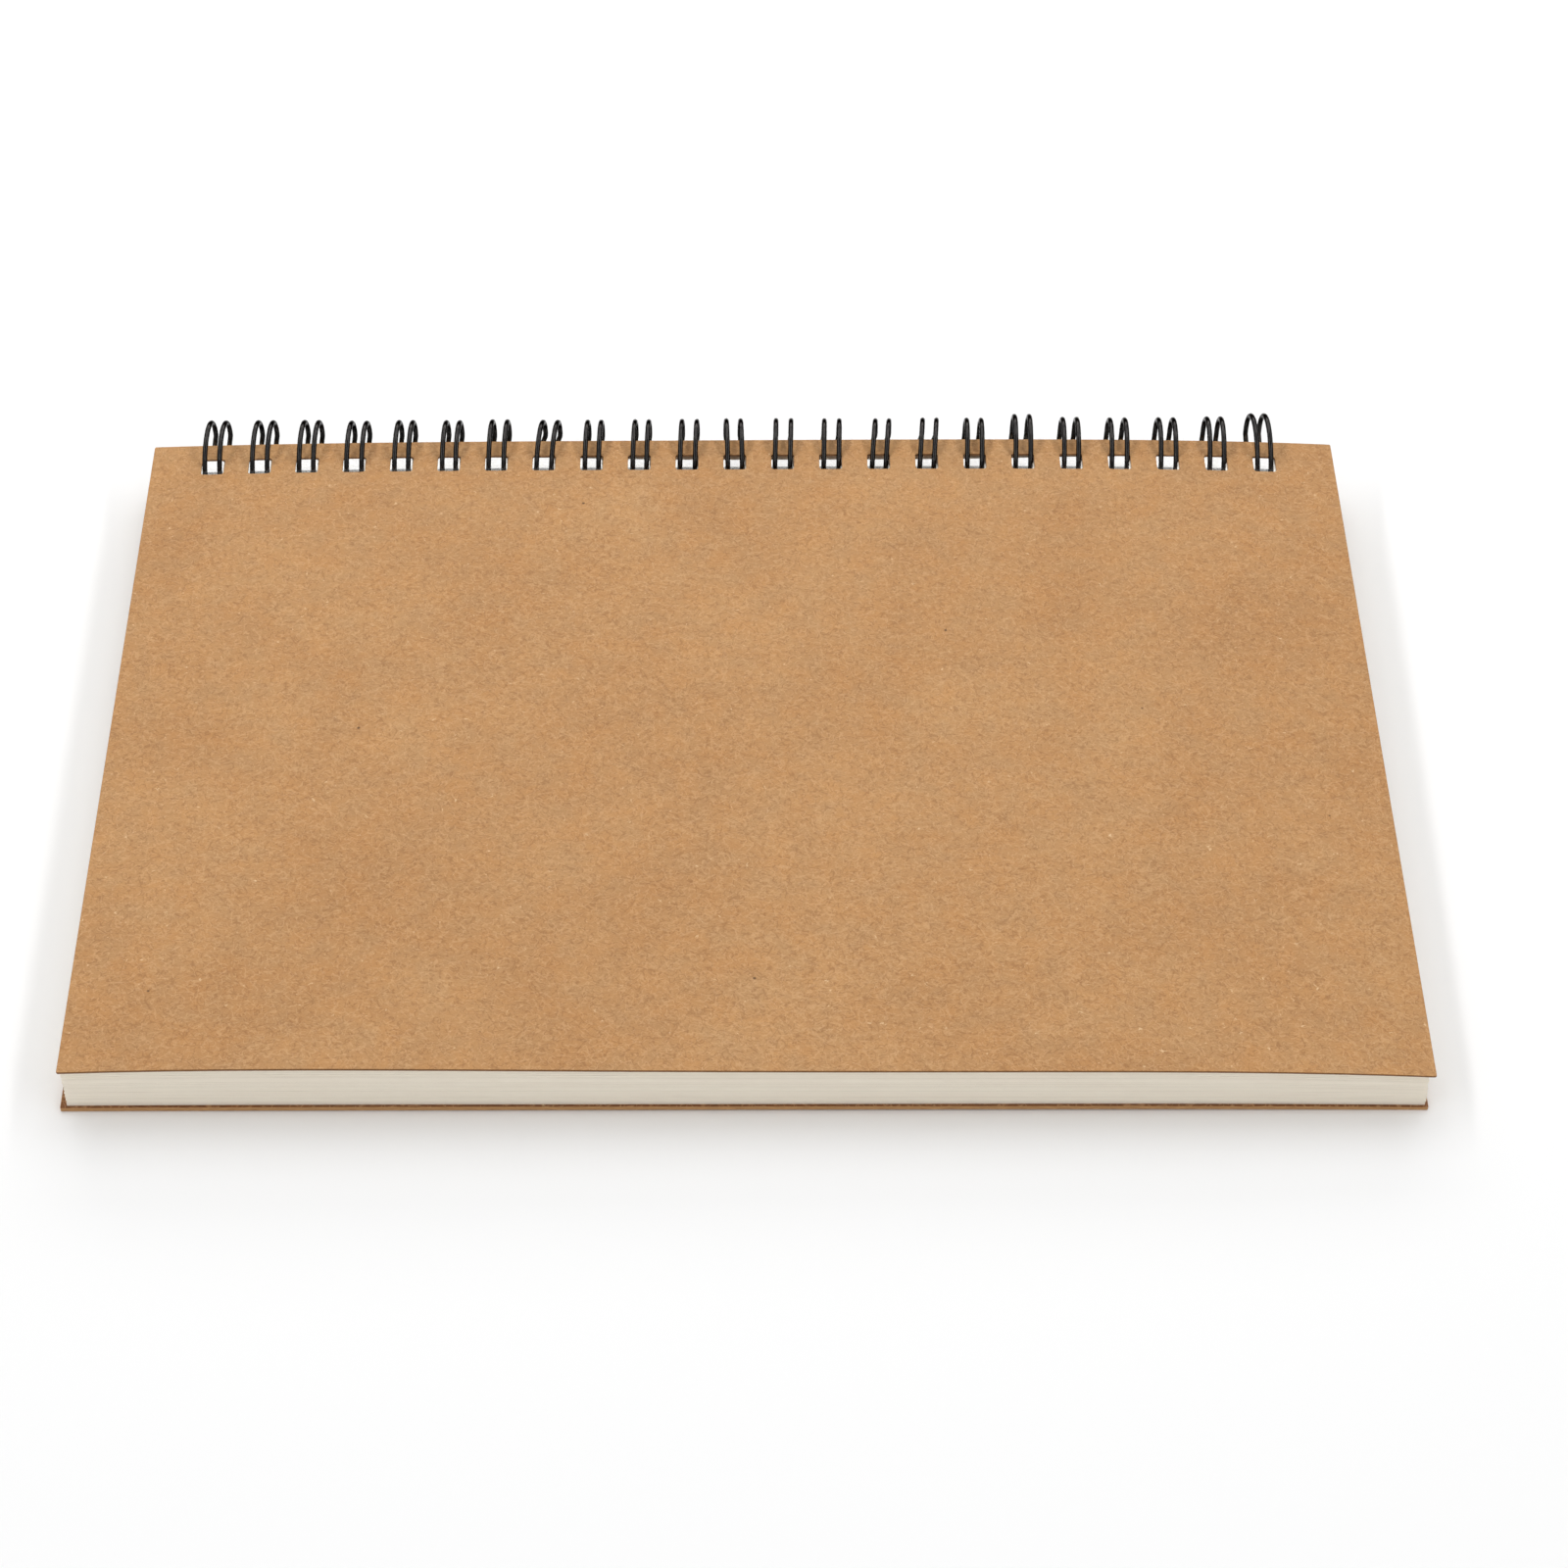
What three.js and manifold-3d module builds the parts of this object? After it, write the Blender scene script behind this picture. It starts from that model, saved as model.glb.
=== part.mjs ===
// A landscape A5 sketchbook: a card cover, forty drawing sheets and a board back, punched along one
// long edge and held by one continuous twin-loop wire. Millimetres, +Z up, X along the bound edge,
// the wire at +Y. It lies closed on a table: the origin is on the table under its middle.
import * as THREE from "three";
import { mergeVertices } from "three/addons/utils/BufferGeometryUtils.js";
import Module from "manifold-3d";

const wasm = await Module();
wasm.setup();

// Driving dimensions
const coverWidth = 210;
const coverDepth = 148;
const coverThickness = 0.4;
const backThickness = 0.9;
const sideInset = 0.8; // the sheets are trimmed smaller than the covers
const freeEdgeInset = 0.6;
const leafCount = 40;
const leafPitch = 0.2; // one sheet and the air under it
const leafThickness = 0.188;

const holeCount = 23;
const holePitch = 25.4 / 3;
const holeSize = 4;
const holeFromEdge = 6; // bound edge to the middle of a hole
const punchShift = -1.1; // the row of holes stands a little to the left of the middle

const wireThickness = 0.9;
const ringRadius = 6.9; // to the middle of the wire
const twinSpacing = 2.54; // between the two wires of one loop
const edgeToAxis = 0.1; // the bound edges end just short of the ring's middle
const seamAngle = -25; // from straight down, positive towards the free edge
const seamGap = 1.4; // between wire middles, where the loop tips meet the links
const linkCorner = 1.2; // bend radius of the links between loops
const ringStep = 30; // degrees between sections round a loop

// Placement
const stackHeight = coverThickness + leafCount * leafPitch + backThickness;
const ringOuter = ringRadius + wireThickness / 2;
const totalDepth = coverDepth + edgeToAxis + ringOuter;
const freeEdgeY = -totalDepth / 2;
const boundEdgeY = freeEdgeY + coverDepth;
const axisY = boundEdgeY + edgeToAxis;
const axisZ = ringOuter;
const stackBottom = axisZ - stackHeight / 2;
const stackTop = stackBottom + stackHeight;

// Materials
const kraft = { color: 0xc69869, roughness: 0.88, metalness: 0 };
const greyboard = { color: 0xa87c50, roughness: 0.9, metalness: 0 };
const drawingPaper = { color: 0xece5d2, roughness: 0.92, metalness: 0 };
const blackWire = { color: 0x16171a, roughness: 0.28, metalness: 0.5 };

const sketchbook = new THREE.Group();

function addMesh(name, geometry, finish) {
  const mesh = new THREE.Mesh(geometry, new THREE.MeshStandardMaterial(finish));
  mesh.name = name;
  sketchbook.add(mesh);
  return mesh;
}

function holeX(index) {
  return punchShift + (index - (holeCount - 1) / 2) * holePitch;
}

// A closed geometry as a solid that can be cut.
function toSolid(geometry) {
  const bare = geometry.clone();
  bare.deleteAttribute("normal");
  bare.deleteAttribute("uv");
  const merged = mergeVertices(bare);
  const vertProperties = merged.attributes.position.array;
  const triVerts = new Uint32Array(merged.index.array);
  return new wasm.Manifold(new wasm.Mesh({ numProp: 3, vertProperties, triVerts }));
}

function toGeometry(solid) {
  const { vertProperties, triVerts } = solid.getMesh();
  const geometry = new THREE.BufferGeometry();
  geometry.setAttribute("position", new THREE.BufferAttribute(vertProperties, 3));
  geometry.setIndex(new THREE.BufferAttribute(triVerts, 1));
  geometry.computeVertexNormals();
  return geometry;
}

// A flat punched sheet whose bound edge is on y = 0 and whose underside is on z = 0.
function punchedSheet(width, depth, thickness) {
  const blank = new THREE.BoxGeometry(width, depth, thickness);
  blank.translate(0, -depth / 2, thickness / 2);
  let sheet = toSolid(blank);
  for (let i = 0; i < holeCount; i++) {
    const punch = new THREE.BoxGeometry(holeSize, holeSize, 3 * thickness);
    punch.translate(holeX(i), -holeFromEdge, thickness / 2);
    sheet = sheet.subtract(toSolid(punch));
  }
  return toGeometry(sheet);
}

function addSheet(name, width, depth, thickness, bottom, finish) {
  const mesh = addMesh(name, punchedSheet(width, depth, thickness), finish);
  mesh.position.set(0, boundEdgeY, bottom);
}

// A board under the sheets and a thin card over them.
function addCovers() {
  addSheet("back_cover", coverWidth, coverDepth, backThickness, stackBottom, greyboard);
  addSheet("front_cover", coverWidth, coverDepth, coverThickness, stackTop - coverThickness, kraft);
}

// The drawing sheets, numbered from the top and spread evenly between the covers.
function addLeaves() {
  const width = coverWidth - 2 * sideInset;
  const depth = coverDepth - freeEdgeInset;
  const air = leafPitch - leafThickness;
  for (let number = 1; number <= leafCount; number++) {
    const name = `leaf_${String(number).padStart(2, "0")}`;
    const underside = stackTop - coverThickness - number * leafPitch + air / 2;
    addSheet(name, width, depth, leafThickness, underside, drawingPaper);
  }
}

// A path through given points. Each step of an extrusion along it lands on one of the points,
// and its direction there halves the bend.
class PointPath extends THREE.Curve {
  constructor(points) {
    super();
    this.points = points;
  }
  get last() {
    return this.points.length - 1;
  }
  getPoint(t, target = new THREE.Vector3()) {
    return target.copy(this.points[Math.round(t * this.last)]);
  }
  getTangent(t, target = new THREE.Vector3()) {
    const here = Math.round(t * this.last);
    const point = this.points[here];
    const before = this.points[Math.max(here - 1, 0)];
    const after = this.points[Math.min(here + 1, this.last)];
    const arriving = point.clone().sub(before).normalize();
    const leaving = after.clone().sub(point).normalize();
    return target.copy(arriving).add(leaving).normalize();
  }
  getUtoTmapping(u) {
    return u;
  }
}

// A point on the ring's cylinder: degrees go from straight down, towards the free edge and over the top.
function onRing(x, degrees) {
  const angle = THREE.MathUtils.degToRad(degrees);
  const y = axisY - ringRadius * Math.sin(angle);
  const z = axisZ - ringRadius * Math.cos(angle);
  return new THREE.Vector3(x, y, z);
}

// A bend lying on the ring's cylinder, about (x, degrees), from one heading to another.
function bendOnRing(x, degrees, radius, from, to, steps) {
  const points = [];
  const perMillimetre = THREE.MathUtils.radToDeg(1 / ringRadius);
  for (let i = 0; i <= steps; i++) {
    const heading = THREE.MathUtils.degToRad(from + ((to - from) * i) / steps);
    const along = radius * Math.cos(heading);
    const round = radius * Math.sin(heading) * perMillimetre;
    points.push(onRing(x + along, degrees + round));
  }
  return points;
}

// The wire's whole route: up and over at one side of each loop, round its tip at the seam,
// back at the other side, and along a link to the next loop.
function wireRoute() {
  const degreesPerMillimetre = THREE.MathUtils.radToDeg(1 / ringRadius);
  const half = twinSpacing / 2;
  const linkDegrees = seamAngle + (seamGap / 2) * degreesPerMillimetre;
  const strokeStart = linkDegrees + linkCorner * degreesPerMillimetre;
  const strokeEnd = 360 + seamAngle - (seamGap / 2 + half) * degreesPerMillimetre;

  const between = [];
  for (let degrees = 0; degrees < strokeEnd - ringStep / 2; degrees += ringStep) {
    between.push(degrees);
  }

  const route = [];
  for (let i = 0; i < holeCount; i++) {
    const x = holeX(i);
    const cornerIn = x - half - linkCorner;
    const cornerOut = x + half + linkCorner;
    if (i === 0) route.push(onRing(x - half, strokeStart));
    else route.push(...bendOnRing(cornerIn, strokeStart, linkCorner, -90, 0, 2));
    route.push(...between.map((degrees) => onRing(x - half, degrees)));
    route.push(...bendOnRing(x, strokeEnd, half, 180, 0, 3));
    route.push(...between.toReversed().map((degrees) => onRing(x + half, degrees)));
    if (i === holeCount - 1) route.push(onRing(x + half, strokeStart));
    else route.push(...bendOnRing(cornerOut, strokeStart, linkCorner, 180, 270, 2));
  }
  return route;
}

// The wire, swept with a square section as thick as the round wire.
function addWire() {
  const half = wireThickness / 2;
  const corners = [[-half, -half], [half, -half], [half, half], [-half, half]];
  const section = new THREE.Shape(corners.map(([x, y]) => new THREE.Vector2(x, y)));
  const path = new PointPath(wireRoute());
  const geometry = new THREE.ExtrudeGeometry(section, { steps: path.last, extrudePath: path });
  addMesh("wire_binding", geometry, blackWire);
}

addCovers();
addLeaves();
addWire();

export default sketchbook;
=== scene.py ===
"""A landscape A5 sketchbook: kraft card cover, forty cream drawing sheets and a board back,
bound along the far long edge with a black twin-loop wire. Metres, in the frame of the CAD part:
X along the bound edge, the wire at +Y, the table at z = 0."""

import math
import random

import bpy
import numpy as np
from mathutils import Matrix, Vector


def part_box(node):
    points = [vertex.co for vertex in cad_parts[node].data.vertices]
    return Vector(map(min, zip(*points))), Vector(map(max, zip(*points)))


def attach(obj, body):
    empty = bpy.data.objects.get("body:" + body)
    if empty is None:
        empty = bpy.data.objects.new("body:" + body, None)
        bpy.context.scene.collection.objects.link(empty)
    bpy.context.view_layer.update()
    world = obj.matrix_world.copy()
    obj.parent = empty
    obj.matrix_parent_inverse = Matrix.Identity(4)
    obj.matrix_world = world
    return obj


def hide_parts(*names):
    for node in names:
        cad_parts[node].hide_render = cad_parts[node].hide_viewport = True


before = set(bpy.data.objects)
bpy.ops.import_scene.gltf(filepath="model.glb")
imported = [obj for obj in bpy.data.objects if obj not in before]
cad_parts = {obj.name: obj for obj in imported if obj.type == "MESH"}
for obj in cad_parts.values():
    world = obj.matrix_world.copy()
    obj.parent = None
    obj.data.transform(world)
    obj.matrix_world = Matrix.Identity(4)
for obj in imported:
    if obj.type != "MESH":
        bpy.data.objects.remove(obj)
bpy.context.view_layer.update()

MM = 0.001

# The book, read from the frame
COVER_LOW, COVER_HIGH = (np.array(corner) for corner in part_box("front_cover"))
BOARD_LOW, BOARD_HIGH = (np.array(corner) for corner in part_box("back_cover"))
WIRE_LOW, WIRE_HIGH = (np.array(corner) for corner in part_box("wire_binding"))
LEAVES = sorted(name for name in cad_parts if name.startswith("leaf_"))
BOUND_EDGE = COVER_HIGH[1]
FREE_EDGE = COVER_LOW[1]
STACK_BOTTOM = BOARD_LOW[2]
STACK_HEIGHT = COVER_HIGH[2] - BOARD_LOW[2]

# Punching and wire
HOLES = 23
PITCH = 25.4 / 3 * MM
HOLE_SIZE = 4.0 * MM
HOLE_CORNER = 0.5 * MM
HOLE_FROM_EDGE = 6.0 * MM
PUNCH_SHIFT = -1.1 * MM
WIRE_RADIUS = 0.45 * MM
TWIN_SPACING = 2.54 * MM
RING_RADIUS = (WIRE_HIGH[2] - WIRE_LOW[2]) / 2 - WIRE_RADIUS
AXIS_Y = WIRE_HIGH[1] - RING_RADIUS - WIRE_RADIUS
AXIS_Z = (WIRE_HIGH[2] + WIRE_LOW[2]) / 2

# The hole walls carry a painted glow down to this depth under the cover, and no more at the
# second
GLOW_DEPTH = 2.75 * MM
GLOW_END = 1.08 * GLOW_DEPTH

# Angles round a loop, in degrees from straight down, towards the free edge and over the top:
# its two sides, where its extra height is greatest, and where its lean has faded out
FREE_SIDE = 90
FULLEST = 225
BOUND_SIDE = 270
LEAN_GONE = 300

# Loops that stand out from the row, counted from 0 at the left, and by how much
PROUD_LOOPS = (17, 22)
PROUD_HEIGHT = 0.6 * MM
RIGHT_LEANING_LOOPS = (7, 14, 15)
LEFT_LEANING_LOOPS = (11, 22)
ODD_LEAN = 0.38 * MM


def across(index):
    """Where a hole stands along the row, from -1 at the left end to 1 at the right."""
    return 2 * index / (HOLES - 1) - 1


def hole_x(index):
    """A hole's middle: an even row but for a slow drift of about half a millimetre."""
    middle, slope, curve = -0.55, 0.2, 0.87
    drift = (middle + slope * across(index) + curve * across(index) ** 2) * MM
    return PUNCH_SHIFT + (index - (HOLES - 1) / 2) * PITCH + drift


# ---------------------------------------------------------------- how the book lies


def smooth_rise(*knots):
    """A smooth curve near some (x, rise) knots, in millimetres, as a function in metres."""
    along, rise = np.array(knots).T
    curve = np.polynomial.Polynomial.fit(along, rise, deg=5)
    return lambda x: curve(x / MM) * MM


# How far the closed book's edges lie from the flat stack, left to right: the sheets are fuller
# near the left, and the cover's corners droop
COVER_FREE_EDGE = smooth_rise((-105, -0.3), (-91, 0.3), (-77, 0.45), (-56, 0.5), (-32, 0.2),
                              (-9, 0.1), (38, -0.05), (61, -0.2), (85, -0.6), (99, -0.9),
                              (105, -1.6))
COVER_BOUND_EDGE = smooth_rise((-105, -1.75), (-88, -1.15), (-65, -0.6), (-40, -0.15), (0, 0.1),
                               (30, 0.45), (62, 0.5), (85, 0.1), (105, -0.6))
BOARD_FREE_EDGE = smooth_rise((-105, -0.1), (-77, 0), (-30, 0.08), (20, 0.14), (50, 0.14),
                              (75, 0.1), (90, -0.03), (105, -0.15))
BOARD_PRESSED = 0.1 * MM

# The gap under the cover along the wire: its height, middle and half width, and two exponents,
# for how squarely it ends along the wire and how soon it closes towards the free edge
COVER_PARTING = 1.1 * MM
PARTING_X = 14 * MM
PARTING_SPREAD = 42 * MM
PARTING_SHOULDER = 4
PARTING_FADE = 8


def settle(x, y, z):
    """Where a point of the flat stack really lies. The board is pressed a little thinner, and
    near the middle of the wire the cover stands off the sheets."""
    forward = np.clip((BOUND_EDGE - y) / (BOUND_EDGE - FREE_EDGE), 0, 1)
    level = (z - STACK_BOTTOM) / STACK_HEIGHT
    board = BOARD_FREE_EDGE(x) * forward
    cover = COVER_FREE_EDGE(x) * forward + COVER_BOUND_EDGE(x) * (1 - forward)
    parting = COVER_PARTING * np.exp(-(((x - PARTING_X) / PARTING_SPREAD) ** PARTING_SHOULDER))
    parting = np.where(z < COVER_LOW[2], parting * (1 - forward) ** PARTING_FADE, 0)
    pressed = np.where(z > STACK_BOTTOM, BOARD_PRESSED, 0)
    return z + (board - pressed) * (1 - level) + (cover - parting) * level


# ---------------------------------------------------------------- punched sheets


def hole_outline(half, radius, arc_steps):
    """One side of a rounded square hole, from the middle of one corner to the middle of the
    next, as (along, out) pairs for a side that faces out."""
    side = []
    straight = half - radius
    for step in range(arc_steps + 1):
        turn = math.pi / 4 * (1 - step / arc_steps)
        side.append((-straight - radius * math.sin(turn), straight + radius * math.cos(turn)))
    side.append((0.0, half))
    return side + [(-along, out) for along, out in reversed(side[:-1])]


def sheet_layout(width, depth, hole_half, hole_radius, arc_steps, rows, margin_columns):
    """The flat outline and mesh of a punched sheet, its bound edge on y = 0. It returns points,
    faces, and the closed loops of its rim and of its holes."""
    side = hole_outline(hole_half, hole_radius, arc_steps)
    per_cell = len(side) - 1
    band = 2 * HOLE_FROM_EDGE
    first = hole_x(0) - PITCH / 2
    last = hole_x(HOLES - 1) + PITCH / 2
    xs = list(np.linspace(-width / 2, first, margin_columns + 1))
    xs += list(np.linspace(first, last, HOLES * per_cell + 1)[1:])
    xs += list(np.linspace(last, width / 2, margin_columns + 1)[1:])
    ys = list(-band * np.arange(per_cell + 1) / per_cell)
    ys += list(np.linspace(-band, -depth, rows + 1)[1:])
    columns, lines = len(xs) - 1, len(ys) - 1
    points, index, faces = [], {}, []

    def grid(c, r):
        if (c, r) not in index:
            index[c, r] = len(points)
            points.append((xs[c], ys[r]))
        return index[c, r]

    for c in range(columns):
        for r in range(lines):
            if r < per_cell and margin_columns <= c < columns - margin_columns:
                continue
            faces.append((grid(c, r), grid(c, r + 1), grid(c + 1, r + 1), grid(c + 1, r)))

    holes = []
    for hole in range(HOLES):
        left = margin_columns + hole * per_cell
        steps = range(per_cell)
        outer = [grid(left + s, 0) for s in steps]
        outer += [grid(left + per_cell, s) for s in steps]
        outer += [grid(left + per_cell - s, per_cell) for s in steps]
        outer += [grid(left, per_cell - s) for s in steps]
        inner = []
        for quarter in range(4):
            turn = -quarter * math.pi / 2
            for along, out in side[:-1]:
                inner.append(len(points))
                x = along * math.cos(turn) - out * math.sin(turn)
                y = along * math.sin(turn) + out * math.cos(turn)
                points.append((hole_x(hole) + x, -HOLE_FROM_EDGE + y))
        count = len(outer)
        for a in range(count):
            b = (a + 1) % count
            faces.append((outer[a], inner[a], inner[b], outer[b]))
        holes.append(inner)

    rim = [grid(c, 0) for c in range(columns)]
    rim += [grid(columns, r) for r in range(lines)]
    rim += [grid(columns - c, lines) for c in range(columns)]
    rim += [grid(0, lines - r) for r in range(lines)]
    return np.array(points), faces, rim, holes


def punched_sheet(name, layout, low_z, high_z, shift=(0.0, 0.0)):
    """A thin closed sheet from a layout, settled into the stack. It takes four materials: top,
    underside, cut rim and walls of the holes."""
    flat, faces, rim, holes = layout
    count = len(flat)
    x = flat[:, 0] + shift[0]
    y = flat[:, 1] + BOUND_EDGE + shift[1]
    top = np.column_stack([x, y, settle(x, y, np.full(count, high_z))])
    bottom = np.column_stack([x, y, settle(x, y, np.full(count, low_z))])
    all_faces = list(faces) + [tuple(count + v for v in reversed(face)) for face in faces]
    kinds = [0] * len(faces) + [1] * len(faces)
    for loop, kind, outward in [(rim, 2, True)] + [(hole, 3, False) for hole in holes]:
        for a, b in zip(loop, loop[1:] + loop[:1]):
            wall = (a, b, count + b, count + a)
            all_faces.append(wall if outward else tuple(reversed(wall)))
            kinds.append(kind)
    mesh = bpy.data.meshes.new(name)
    mesh.from_pydata(np.vstack([top, bottom]).tolist(), [], all_faces)
    mesh.polygons.foreach_set("material_index", kinds)
    mesh.update()
    cover_top = settle(x, y, np.full(count, COVER_HIGH[2]))
    depth = np.concatenate([cover_top - top[:, 2], cover_top - bottom[:, 2]])
    mesh.attributes.new("depth", "FLOAT", "POINT").data.foreach_set("value", depth)
    piece = bpy.data.objects.new(name, mesh)
    bpy.context.scene.collection.objects.link(piece)
    at_end = (x == x.min()) | (x == x.max())
    at_side = (y == y.min()) | (y == y.max())
    corners = np.flatnonzero(at_end & at_side)
    group = piece.vertex_groups.new(name="corners")
    group.add(corners.tolist() + (corners + count).tolist(), 1.0, "ADD")
    return piece


def round_corners(piece, radius):
    """Rounds the four upright corners of a sheet."""
    bevel = piece.modifiers.new("round_corners", "BEVEL")
    bevel.width = radius
    bevel.segments = 4
    bevel.limit_method = "VGROUP"
    bevel.vertex_group = "corners"


def soften_edges(piece, width):
    """Takes the sharpness off the edges round a sheet's two faces."""
    bevel = piece.modifiers.new("soft_edges", "BEVEL")
    bevel.width = width
    bevel.segments = 2
    bevel.limit_method = "ANGLE"
    bevel.angle_limit = math.radians(50)


# ---------------------------------------------------------------- the wire


def sideways(degrees):
    """How much of a loop's lean shows at an angle: none in front, most at the back, and none
    again below, where the turned cover's holes lie round it."""
    over = 1 - math.sin(math.radians(min(max(degrees, FREE_SIDE), BOUND_SIDE)))
    left = (LEAN_GONE - degrees) / (LEAN_GONE - BOUND_SIDE)
    return over * min(max(left, 0), 1)


def on_ring(x, degrees, radius, lean):
    """A point on a loop, by its angle. A leaning loop's back stands to one side of its front."""
    angle = math.radians(degrees)
    return (
        x + lean * sideways(degrees),
        AXIS_Y - radius * math.sin(angle),
        AXIS_Z - radius * math.cos(angle),
    )


def fullness(degrees):
    """How much of a loop's extra height shows at an angle: most at the top, towards the back."""
    return max(0, math.cos(math.radians(degrees - FULLEST)))


def wire_route():
    """The wire's middle line: up and over at one side of each loop, round the loop's tip at the
    seam, back at the other side, and along a link to the next loop. Towards the right the loops
    stand taller and lean less."""
    degrees_per_metre = math.degrees(1 / RING_RADIUS)
    half = TWIN_SPACING / 2
    corner = 1.2 * MM
    seam, gap, step = -25, 1.4 * MM, 6
    corner_steps, tip_steps = 5, 10
    uneven, uneven_height = 0.08, 0.1
    start = seam + (gap / 2 + corner) * degrees_per_metre
    end = 360 + seam - (gap / 2 + half) * degrees_per_metre
    angles = np.linspace(start, end, round((end - start) / step) + 1)[1:-1]
    rng = random.Random(5)
    route = []

    def bend(x, degrees, radius, heading_from, heading_to, steps, lean):
        for i in range(steps + 1):
            heading = math.radians(heading_from + (heading_to - heading_from) * i / steps)
            along = radius * math.cos(heading)
            round_ring = radius * math.sin(heading) * degrees_per_metre
            route.append(on_ring(x + along, degrees + round_ring, RING_RADIUS, lean))

    for loop in range(HOLES):
        rightward = 0.2 * across(loop) + rng.uniform(-uneven, uneven)
        x = hole_x(loop) + rightward * MM
        spread = rng.uniform(-uneven, uneven) * MM
        tall = (0.15 + 0.6 * across(loop) + rng.uniform(-uneven_height, uneven_height)) * MM
        if loop in PROUD_LOOPS:
            tall += PROUD_HEIGHT
        lean = (0.2 - 0.1 * across(loop)) * MM
        if loop in RIGHT_LEANING_LOOPS:
            lean += ODD_LEAN
        if loop in LEFT_LEANING_LOOPS:
            lean -= ODD_LEAN
        radii = [RING_RADIUS + tall * fullness(degrees) for degrees in angles]
        if loop > 0:
            bend(x - half - corner, start, corner, -90, 0, corner_steps, lean)
        for degrees, radius in zip(angles, radii):
            route.append(on_ring(x - half - spread, degrees, radius, lean))
        bend(x, end, half, 180, 0, tip_steps, lean)
        for degrees, radius in reversed(list(zip(angles, radii))):
            route.append(on_ring(x + half + spread, degrees, radius, lean))
        if loop < HOLES - 1:
            bend(x + half + corner, start, corner, 180, 270, corner_steps, lean)
    return np.array(route)


def swept_tube(name, route, radius, sides):
    """A closed round tube along a route, its sections turned as little as they can be."""
    ahead = np.diff(route, axis=0)
    ahead /= np.linalg.norm(ahead, axis=1)[:, None]
    tangent = np.vstack([ahead[:1], ahead[1:] + ahead[:-1], ahead[-1:]])
    tangent /= np.linalg.norm(tangent, axis=1)[:, None]
    normal = np.cross(tangent[0], (1.0, 0.0, 0.0))
    turns = 2 * math.pi * np.arange(sides) / sides
    rings = []
    for point, along in zip(route, tangent):
        normal = normal - along * normal.dot(along)
        normal /= np.linalg.norm(normal)
        binormal = np.cross(along, normal)
        ring = np.outer(np.cos(turns), normal) + np.outer(np.sin(turns), binormal)
        rings.append(point + radius * ring)
    faces = []
    for r in range(len(rings) - 1):
        for s in range(sides):
            t = (s + 1) % sides
            a, b = r * sides, (r + 1) * sides
            faces.append((a + s, a + t, b + t, b + s))
    last = (len(rings) - 1) * sides
    faces.append(tuple(reversed(range(sides))))
    faces.append(tuple(last + s for s in range(sides)))
    mesh = bpy.data.meshes.new(name)
    mesh.from_pydata(np.vstack(rings).tolist(), [], faces)
    mesh.polygons.foreach_set("use_smooth", [True] * (len(faces) - 2) + [False] * 2)
    mesh.update()
    piece = bpy.data.objects.new(name, mesh)
    bpy.context.scene.collection.objects.link(piece)
    return piece


# ---------------------------------------------------------------- materials


class Graph:
    """A material's nodes, with short calls for the ones used here."""

    def __init__(self, name):
        self.material = bpy.data.materials.new(name)
        self.material.use_nodes = True
        self.tree = self.material.node_tree
        self.tree.nodes.clear()
        self.shader = self.add("ShaderNodeBsdfPrincipled")
        output = self.add("ShaderNodeOutputMaterial")
        self.link(self.shader.outputs["BSDF"], output.inputs["Surface"])

    def add(self, kind, **settings):
        node = self.tree.nodes.new(kind)
        for key, value in settings.items():
            setattr(node, key, value)
        return node

    def link(self, source, target):
        self.tree.links.new(source, target)

    def put(self, value, target):
        """Links an output to an input, or sets the input to a plain value."""
        if isinstance(value, bpy.types.NodeSocket):
            self.link(value, target)
        else:
            target.default_value = value

    def millimetres(self, scale=(1, 1, 1), turn=0.0, offset=(0, 0, 0)):
        """Object coordinates in millimetres, turned about Z and then stretched."""
        coordinates = self.add("ShaderNodeTexCoord").outputs["Object"]
        turned = self.add("ShaderNodeMapping")
        self.link(coordinates, turned.inputs["Vector"])
        turned.inputs["Rotation"].default_value = (0, 0, math.radians(turn))
        stretched = self.add("ShaderNodeMapping")
        self.link(turned.outputs["Vector"], stretched.inputs["Vector"])
        stretched.inputs["Scale"].default_value = tuple(s / MM for s in scale)
        stretched.inputs["Location"].default_value = offset
        return stretched.outputs["Vector"]

    def noise(self, vector, scale, detail=2.0, roughness=0.5):
        node = self.add("ShaderNodeTexNoise")
        self.link(vector, node.inputs["Vector"])
        node.inputs["Scale"].default_value = scale
        node.inputs["Detail"].default_value = detail
        node.inputs["Roughness"].default_value = roughness
        return node.outputs["Fac"]

    def ramp(self, value, low, high, to_low=0.0, to_high=1.0):
        node = self.add("ShaderNodeMapRange")
        self.link(value, node.inputs["Value"])
        node.inputs["From Min"].default_value = low
        node.inputs["From Max"].default_value = high
        node.inputs["To Min"].default_value = to_low
        node.inputs["To Max"].default_value = to_high
        return node.outputs["Result"]

    def math(self, operation, a, b=0.0):
        node = self.add("ShaderNodeMath", operation=operation)
        self.put(a, node.inputs[0])
        self.put(b, node.inputs[1])
        return node.outputs["Value"]

    def mix(self, factor, a, b, blend="MIX"):
        node = self.add("ShaderNodeMix", data_type="RGBA", blend_type=blend)
        self.put(factor, node.inputs["Factor"])
        self.put(a, node.inputs[6])
        self.put(b, node.inputs[7])
        return node.outputs[2]

    def bump(self, height, distance, strength):
        node = self.add("ShaderNodeBump")
        self.link(height, node.inputs["Height"])
        node.inputs["Distance"].default_value = distance
        node.inputs["Strength"].default_value = strength
        return node.outputs["Normal"]

    def finish(self, colour, roughness, normal=None):
        self.put(colour, self.shader.inputs["Base Color"])
        self.put(roughness, self.shader.inputs["Roughness"])
        if normal is not None:
            self.link(normal, self.shader.inputs["Normal"])
        return self.material


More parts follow.
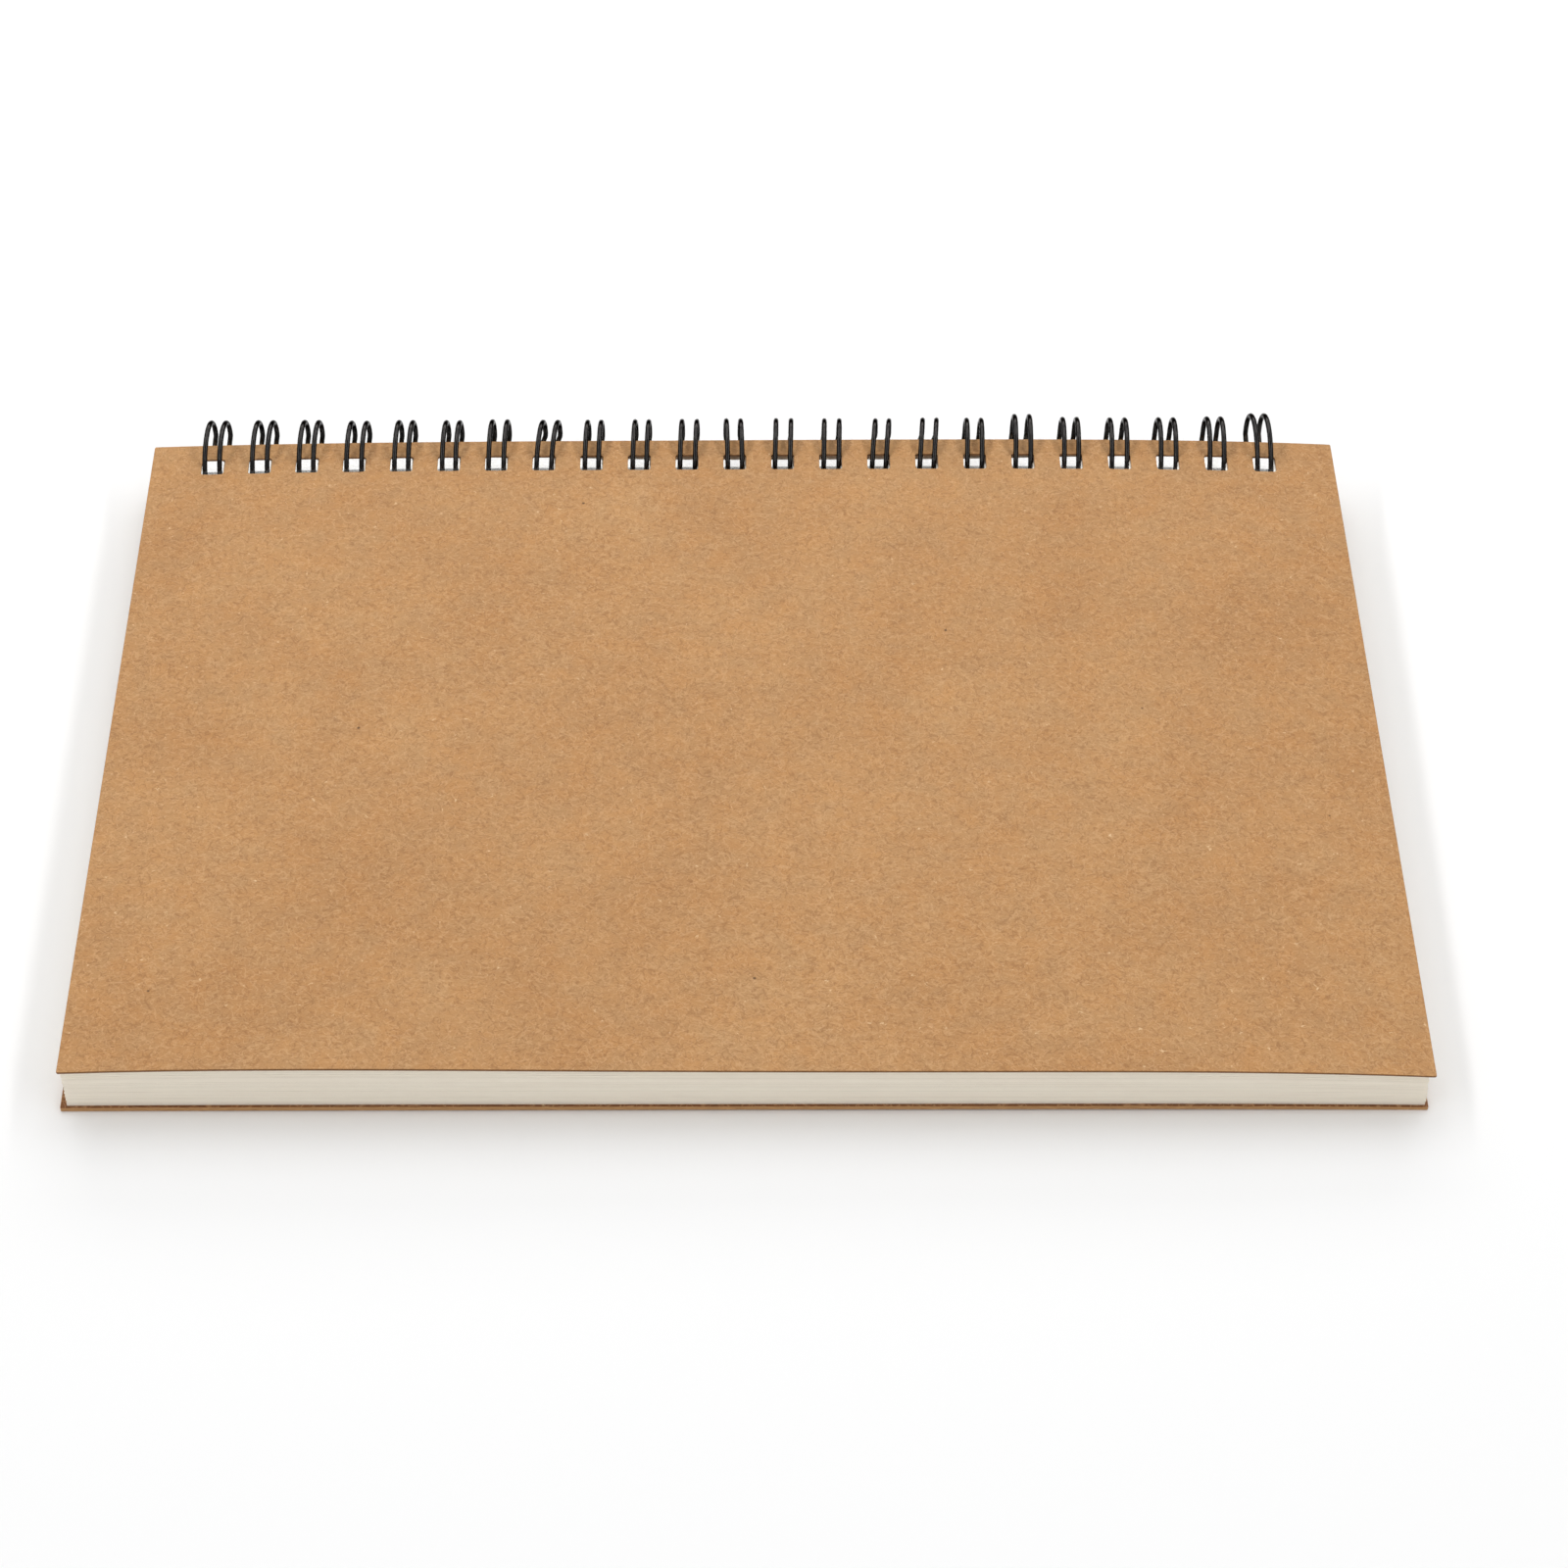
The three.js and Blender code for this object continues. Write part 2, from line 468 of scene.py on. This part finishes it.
def linear(red, green, blue):
    """A colour in 0 to 255 as a screen shows it (sRGB), in the linear values shaders take."""
    def channel(value):
        value /= 255
        return value / 12.92 if value <= 0.04045 else ((value + 0.055) / 1.055) ** 2.4
    return (channel(red), channel(green), channel(blue), 1.0)


def fibres(graph, size, thickness, turns, seed):
    """Short curved fibres lying at several angles, each a line where a smooth field crosses its
    middle, cut to length by a second field: a mask from 0 to 1. The slope is about how far the
    field rises over one fibre's size."""
    total = None
    squash, field_slope = 0.6, 0.35
    for number, turn in enumerate(turns):
        elsewhere = (seed + 17.3 * number, seed + 5.1 * number, 0)
        vector = graph.millimetres((squash / size, 1 / size, 1), turn, elsewhere)
        field = graph.noise(vector, scale=1.0, detail=1.0, roughness=0.3)
        away = graph.math("ABSOLUTE", graph.math("SUBTRACT", field, 0.5))
        line = graph.ramp(away, 0, field_slope * thickness / size, 1.0, 0.0)
        lengths = graph.noise(vector, scale=1.7, detail=0.0)
        strand = graph.math("MULTIPLY", line, graph.ramp(lengths, 0.5, 0.56))
        total = strand if total is None else graph.math("MAXIMUM", total, strand)
    return total


def specks(graph, vector, scale, radius):
    """Sparse round specks: a mask from 0 to 1."""
    cells = graph.add("ShaderNodeTexVoronoi")
    graph.link(vector, cells.inputs["Vector"])
    cells.inputs["Scale"].default_value = scale
    faded = 1.6 * radius
    return graph.ramp(cells.outputs["Distance"], radius, faded, 1.0, 0.0)


def kraft_card(name, light, dark, seed):
    """Brown kraft: a mottle at three sizes, warmer and cooler clouds, short pale and dark
    fibres, a few bright ones and dark specks."""
    graph = Graph(name)
    flat = graph.millimetres(offset=(seed, seed, 0))
    clouds = graph.noise(flat, scale=0.05, detail=5, roughness=0.6)
    pulp = graph.noise(graph.millimetres((0.7, 1.1, 1)), scale=1.0, detail=3, roughness=0.6)
    grain = graph.noise(graph.millimetres((0.8, 1.2, 1)), scale=3.8, detail=3, roughness=0.75)
    mottle = graph.math("MULTIPLY", clouds, 0.75)
    for noise, weight in ((pulp, 0.3), (grain, 1.35)):
        mottle = graph.math("ADD", mottle, graph.math("MULTIPLY", noise, weight))
    colour = graph.mix(graph.ramp(mottle, 0.7, 1.7), dark, light)

    tint = 0.42
    tone = graph.noise(flat, scale=0.18, detail=4, roughness=0.6)
    warmer = graph.mix(tint, colour, linear(255, 233, 178), "MULTIPLY")
    cooler = graph.mix(tint, colour, linear(236, 233, 214), "MULTIPLY")
    colour = graph.mix(graph.ramp(tone, 0.35, 0.65), cooler, warmer)

    pale = fibres(graph, size=1.3, thickness=0.13, turns=(3, 32, 75, 148), seed=seed)
    deep = fibres(graph, size=1.5, thickness=0.13, turns=(170, 22, 60, 120), seed=seed + 40)
    chosen = graph.ramp(graph.noise(flat, scale=0.9), 0.69, 0.73)
    bright = graph.math("MULTIPLY", pale, chosen)
    dots = specks(graph, flat, scale=0.08, radius=0.016)
    for mask, strength, shade in (
        (deep, 0.45, linear(136, 90, 48)),
        (pale, 0.4, linear(216, 172, 124)),
        (bright, 0.5, linear(246, 216, 172)),
        (dots, 0.75, linear(74, 50, 30)),
    ):
        colour = graph.mix(graph.math("MULTIPLY", mask, strength), colour, shade)

    relief = graph.math("ADD", grain, graph.math("MULTIPLY", pale, 0.4))
    normal = graph.bump(relief, distance=0.02 * MM, strength=0.6)
    roughness = graph.ramp(pulp, 0.3, 0.7, 0.8, 0.92)
    return graph.finish(colour, roughness, normal)


def cut_card(name, light, dark):
    """The cut edge of card: layers along it, rougher than the face."""
    graph = Graph(name)
    layers = graph.noise(graph.millimetres((0.4, 0.4, 7)), scale=1.0, detail=3)
    grit = graph.noise(graph.millimetres(), scale=3.0, detail=3)
    colour = graph.mix(graph.ramp(layers, 0.35, 0.65), dark, light)
    colour = graph.mix(0.3, colour, graph.mix(grit, dark, light))
    normal = graph.bump(grit, distance=0.05 * MM, strength=0.8)
    return graph.finish(colour, roughness=0.95, normal=normal)


def paper(name, light, dark, stretch, tooth_depth):
    """Drawing paper: a fine tooth and a faint cloudiness, drawn out along a cut edge."""
    graph = Graph(name)
    clouds = graph.noise(graph.millimetres(stretch), scale=0.25, detail=4)
    tooth = graph.noise(graph.millimetres(), scale=3.2, detail=4, roughness=0.6)
    colour = graph.mix(graph.ramp(clouds, 0.35, 0.65), dark, light)
    normal = graph.bump(tooth, tooth_depth, strength=0.7)
    return graph.finish(colour, roughness=0.9, normal=normal)


def painted_glow_paper(name, light, dark, painted_glow):
    """The walls of the holes, painted a whiter white than the sheets' cut edge. Down to a few
    millimetres they carry a painted glow, an emission that stands in for light in the holes."""
    graph = Graph(name)
    clouds = graph.noise(graph.millimetres(), scale=1.5, detail=3)
    colour = graph.mix(clouds, dark, light)
    graph.put(colour, graph.shader.inputs["Emission Color"])
    depth = graph.add("ShaderNodeAttribute", attribute_name="depth").outputs["Fac"]
    painted_glow_strength = graph.ramp(depth, GLOW_DEPTH, GLOW_END, painted_glow, 0.0)
    graph.put(painted_glow_strength, graph.shader.inputs["Emission Strength"])
    return graph.finish(colour, roughness=0.9)


def coated_wire(name):
    """Black enamelled steel wire: glossy, with a faint ripple and dulled patches. It mirrors like
    a dark metal whose reflections weaken towards its sides, which leaves thin lines of light."""
    graph = Graph(name)
    flat = graph.millimetres()
    patches = graph.noise(flat, scale=0.6, detail=3)
    ripple = graph.noise(flat, scale=2.5, detail=2)
    colour = graph.mix(graph.ramp(patches, 0.35, 0.7), linear(48, 47, 47), linear(60, 58, 57))
    graph.shader.inputs["Metallic"].default_value = 1.0
    graph.shader.inputs["Specular Tint"].default_value = (0.35, 0.35, 0.35, 1)
    roughness = graph.ramp(patches, 0.3, 0.75, 0.03, 0.09)
    normal = graph.bump(ripple, distance=0.003 * MM, strength=0.2)
    return graph.finish(colour, roughness, normal)


# ---------------------------------------------------------------- the pieces


def build_covers(face, edge, inner, board_rim, painted_shade_wall):
    """The kraft card in front and the kraft board at the back, punched alike."""
    width = COVER_HIGH[0] - COVER_LOW[0]
    depth = BOUND_EDGE - FREE_EDGE
    layout = sheet_layout(
        width, depth, HOLE_SIZE / 2, HOLE_CORNER, arc_steps=2, rows=28, margin_columns=4
    )
    card = punched_sheet("kraft_cover", layout, COVER_LOW[2], COVER_HIGH[2])
    round_corners(card, 0.3 * MM)
    soften_edges(card, 0.07 * MM)
    # The hole walls take a cut card painted darker, as shade
    for material in (face, face, edge, painted_shade_wall):
        card.data.materials.append(material)
    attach(card, "front_cover")
    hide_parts("front_cover")
    leftward = (-0.35 * MM, 0)
    board = punched_sheet("board_back", layout, BOARD_LOW[2], BOARD_HIGH[2], leftward)
    round_corners(board, 0.25 * MM)
    soften_edges(board, 0.1 * MM)
    # The board's top face takes the inside kraft, painted darker as shade under the sheets
    for material in (inner, face, board_rim, board_rim):
        board.data.materials.append(material)
    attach(board, "base")
    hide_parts("back_cover")


def build_leaves(face, edge, wall):
    """The drawing sheets, none quite in line with the next, and all leaning over to the left."""
    low, high = (np.array(corner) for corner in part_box(LEAVES[0]))
    width, depth = high[0] - low[0], high[1] - low[1]
    wider_hole = HOLE_SIZE / 2 + 0.1 * MM
    layout = sheet_layout(
        width, depth, wider_hole, HOLE_CORNER, arc_steps=1, rows=10, margin_columns=3
    )
    rng = random.Random(11)
    for node in LEAVES:
        low, high = (np.array(corner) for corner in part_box(node))
        height = (low[2] - STACK_BOTTOM) / STACK_HEIGHT
        leftward = (rng.uniform(-0.1, 0.1) - 0.3 * height) * MM
        forward = (rng.uniform(-0.02, 0.02) - 0.1) * MM
        name = "drawing_sheet_" + node.split("_")[1]
        # The cut edge material is painted paler than the faces, as painted light
        leaf = punched_sheet(name, layout, low[2], high[2], (leftward, forward))
        # The fourth material, on the hole walls, carries a painted glow
        for material in (face, face, edge, wall):
            leaf.data.materials.append(material)
        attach(leaf, node)
        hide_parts(node)


def build_wire(coating):
    """The one bent wire through all the holes."""
    wire = swept_tube("twin_loop_wire", wire_route(), WIRE_RADIUS, sides=14)
    wire.data.materials.append(coating)
    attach(wire, "base")
    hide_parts("wire_binding")


# ---------------------------------------------------------------- stage


def build_floor():
    """A pale table top under the wire's loops and the board's free edge, so it leans a little:
    the book's own frame is level with its covers."""
    size = 4.0
    corner_height = STACK_BOTTOM + BOARD_FREE_EDGE(COVER_LOW[0])
    slope = corner_height / (AXIS_Y - FREE_EDGE)
    corners = []
    for x, y in ((-size, -size), (size, -size), (size, size), (-size, size)):
        corners.append((x, y, (AXIS_Y - y) * slope))
    mesh = bpy.data.meshes.new("floor")
    mesh.from_pydata(corners, [], [(0, 1, 2, 3)])
    floor = bpy.data.objects.new("floor", mesh)
    bpy.context.scene.collection.objects.link(floor)
    graph = Graph("pale_floor")
    blotches = graph.noise(graph.millimetres(), scale=0.002)
    colour = graph.mix(blotches, (0.9, 0.9, 0.9, 1), (0.93, 0.93, 0.93, 1))
    mesh.materials.append(graph.finish(colour, roughness=0.95))


def build_lights():
    """Two long lights beside the book, which draw lines of light down the wire, a large soft one
    overhead, a low one behind that lights the tops of the loops, and a pale surround."""
    world = bpy.data.worlds.new("studio")
    world.use_nodes = True
    surround = world.node_tree.nodes["Background"]
    surround.inputs["Color"].default_value = (1, 1, 1, 1)
    surround.inputs["Strength"].default_value = 0.44
    bpy.context.scene.world = world

    middle = Vector((0, (BOUND_EDGE + FREE_EDGE) / 2, AXIS_Z))
    for name, place, length, width, power in (
        ("left_strip", (-0.8, 0.1, 1.0), 2.6, 0.09, 7.3),
        ("right_strip", (0.8, 0.1, 1.0), 2.6, 0.09, 6.8),
        ("soft_overhead", (0, 0.9, 1.2), 1.2, 1.2, 5.3),
        ("low_behind", (0, 1.4, 0.55), 1.6, 0.4, 6.5),
    ):
        light = bpy.data.lights.new(name, "AREA")
        light.shape = "RECTANGLE"
        light.size = length
        light.size_y = width
        light.energy = power
        lamp = bpy.data.objects.new(name, light)
        lamp.location = place
        lamp.rotation_euler = (middle - Vector(place)).to_track_quat("-Z", "Y").to_euler()
        bpy.context.scene.collection.objects.link(lamp)


def build_camera():
    """The photograph's view: from in front, 45 degrees above, about 0.65 m from the cover."""
    data = bpy.data.cameras.new("camera")
    data.sensor_width = 36
    data.lens = 90.0
    data.clip_start = 0.01
    camera = bpy.data.objects.new("camera", data)
    cover_middle = Vector((0, (BOUND_EDGE + FREE_EDGE) / 2, COVER_HIGH[2]))
    place = cover_middle + Vector((-5.5, -463.4, 452.3)) * MM
    pitch, yaw, roll = (math.radians(angle) for angle in (45.08, 1.47, 1.06))
    level = math.cos(pitch)
    ahead = Vector((math.sin(yaw) * level, math.cos(yaw) * level, -math.sin(pitch)))
    right = Vector((math.cos(yaw), -math.sin(yaw), 0))
    up = right.cross(ahead)
    tilted_right = right * math.cos(roll) + up * math.sin(roll)
    tilted_up = up * math.cos(roll) - right * math.sin(roll)
    turned = Matrix((tilted_right, tilted_up, -ahead)).transposed().to_4x4()
    camera.matrix_world = Matrix.Translation(place) @ turned
    bpy.context.scene.collection.objects.link(camera)
    bpy.context.scene.camera = camera


build_camera()
build_floor()
build_lights()
bpy.context.scene.view_settings.view_transform = "Standard"

kraft_face = kraft_card(
    "kraft_card", light=linear(202, 160, 114), dark=linear(168, 120, 74), seed=3
)
# The inside of the board: kraft painted darker than its outside, a painted shade for the strip of
# it that shows under the sheets
board_inside_painted_shade = kraft_card(
    "kraft_board_inside_painted_shade", light=linear(136, 88, 50), dark=linear(104, 64, 34), seed=21
)
kraft_edge = cut_card("kraft_cut_edge", linear(144, 102, 64), linear(112, 76, 45))
board_edge = cut_card("board_cut_edge", linear(205, 158, 106), linear(165, 121, 78))
page_face = paper(
    "drawing_paper",
    linear(240, 234, 220),
    linear(236, 229, 213),
    stretch=(1, 1, 1),
    tooth_depth=0.03 * MM,
)
# The sheets' cut edge: the paper's cream, painted paler than its faces as painted light on the
# edge
page_edge_painted_light = paper(
    "paper_cut_edge_painted_light",
    linear(252, 243, 226),
    linear(250, 240, 223),
    stretch=(0.2, 0.2, 2),
    tooth_depth=0.02 * MM,
)
# The hole walls: near-white paper with a painted glow standing in for light in the holes
hole_wall_painted_glow = painted_glow_paper(
    "punched_paper_wall_painted_glow", linear(252, 252, 252), linear(247, 247, 246), painted_glow=0.64
)
# The cover's hole walls: cut card painted a darker brown than the face, a painted shade inside
# the holes
card_wall_painted_shade = cut_card("punched_card_wall_painted_shade", linear(170, 120, 78), linear(134, 92, 56))
build_covers(kraft_face, kraft_edge, board_inside_painted_shade, board_edge, card_wall_painted_shade)
build_leaves(page_face, page_edge_painted_light, hole_wall_painted_glow)
build_wire(coated_wire("black_coated_wire"))
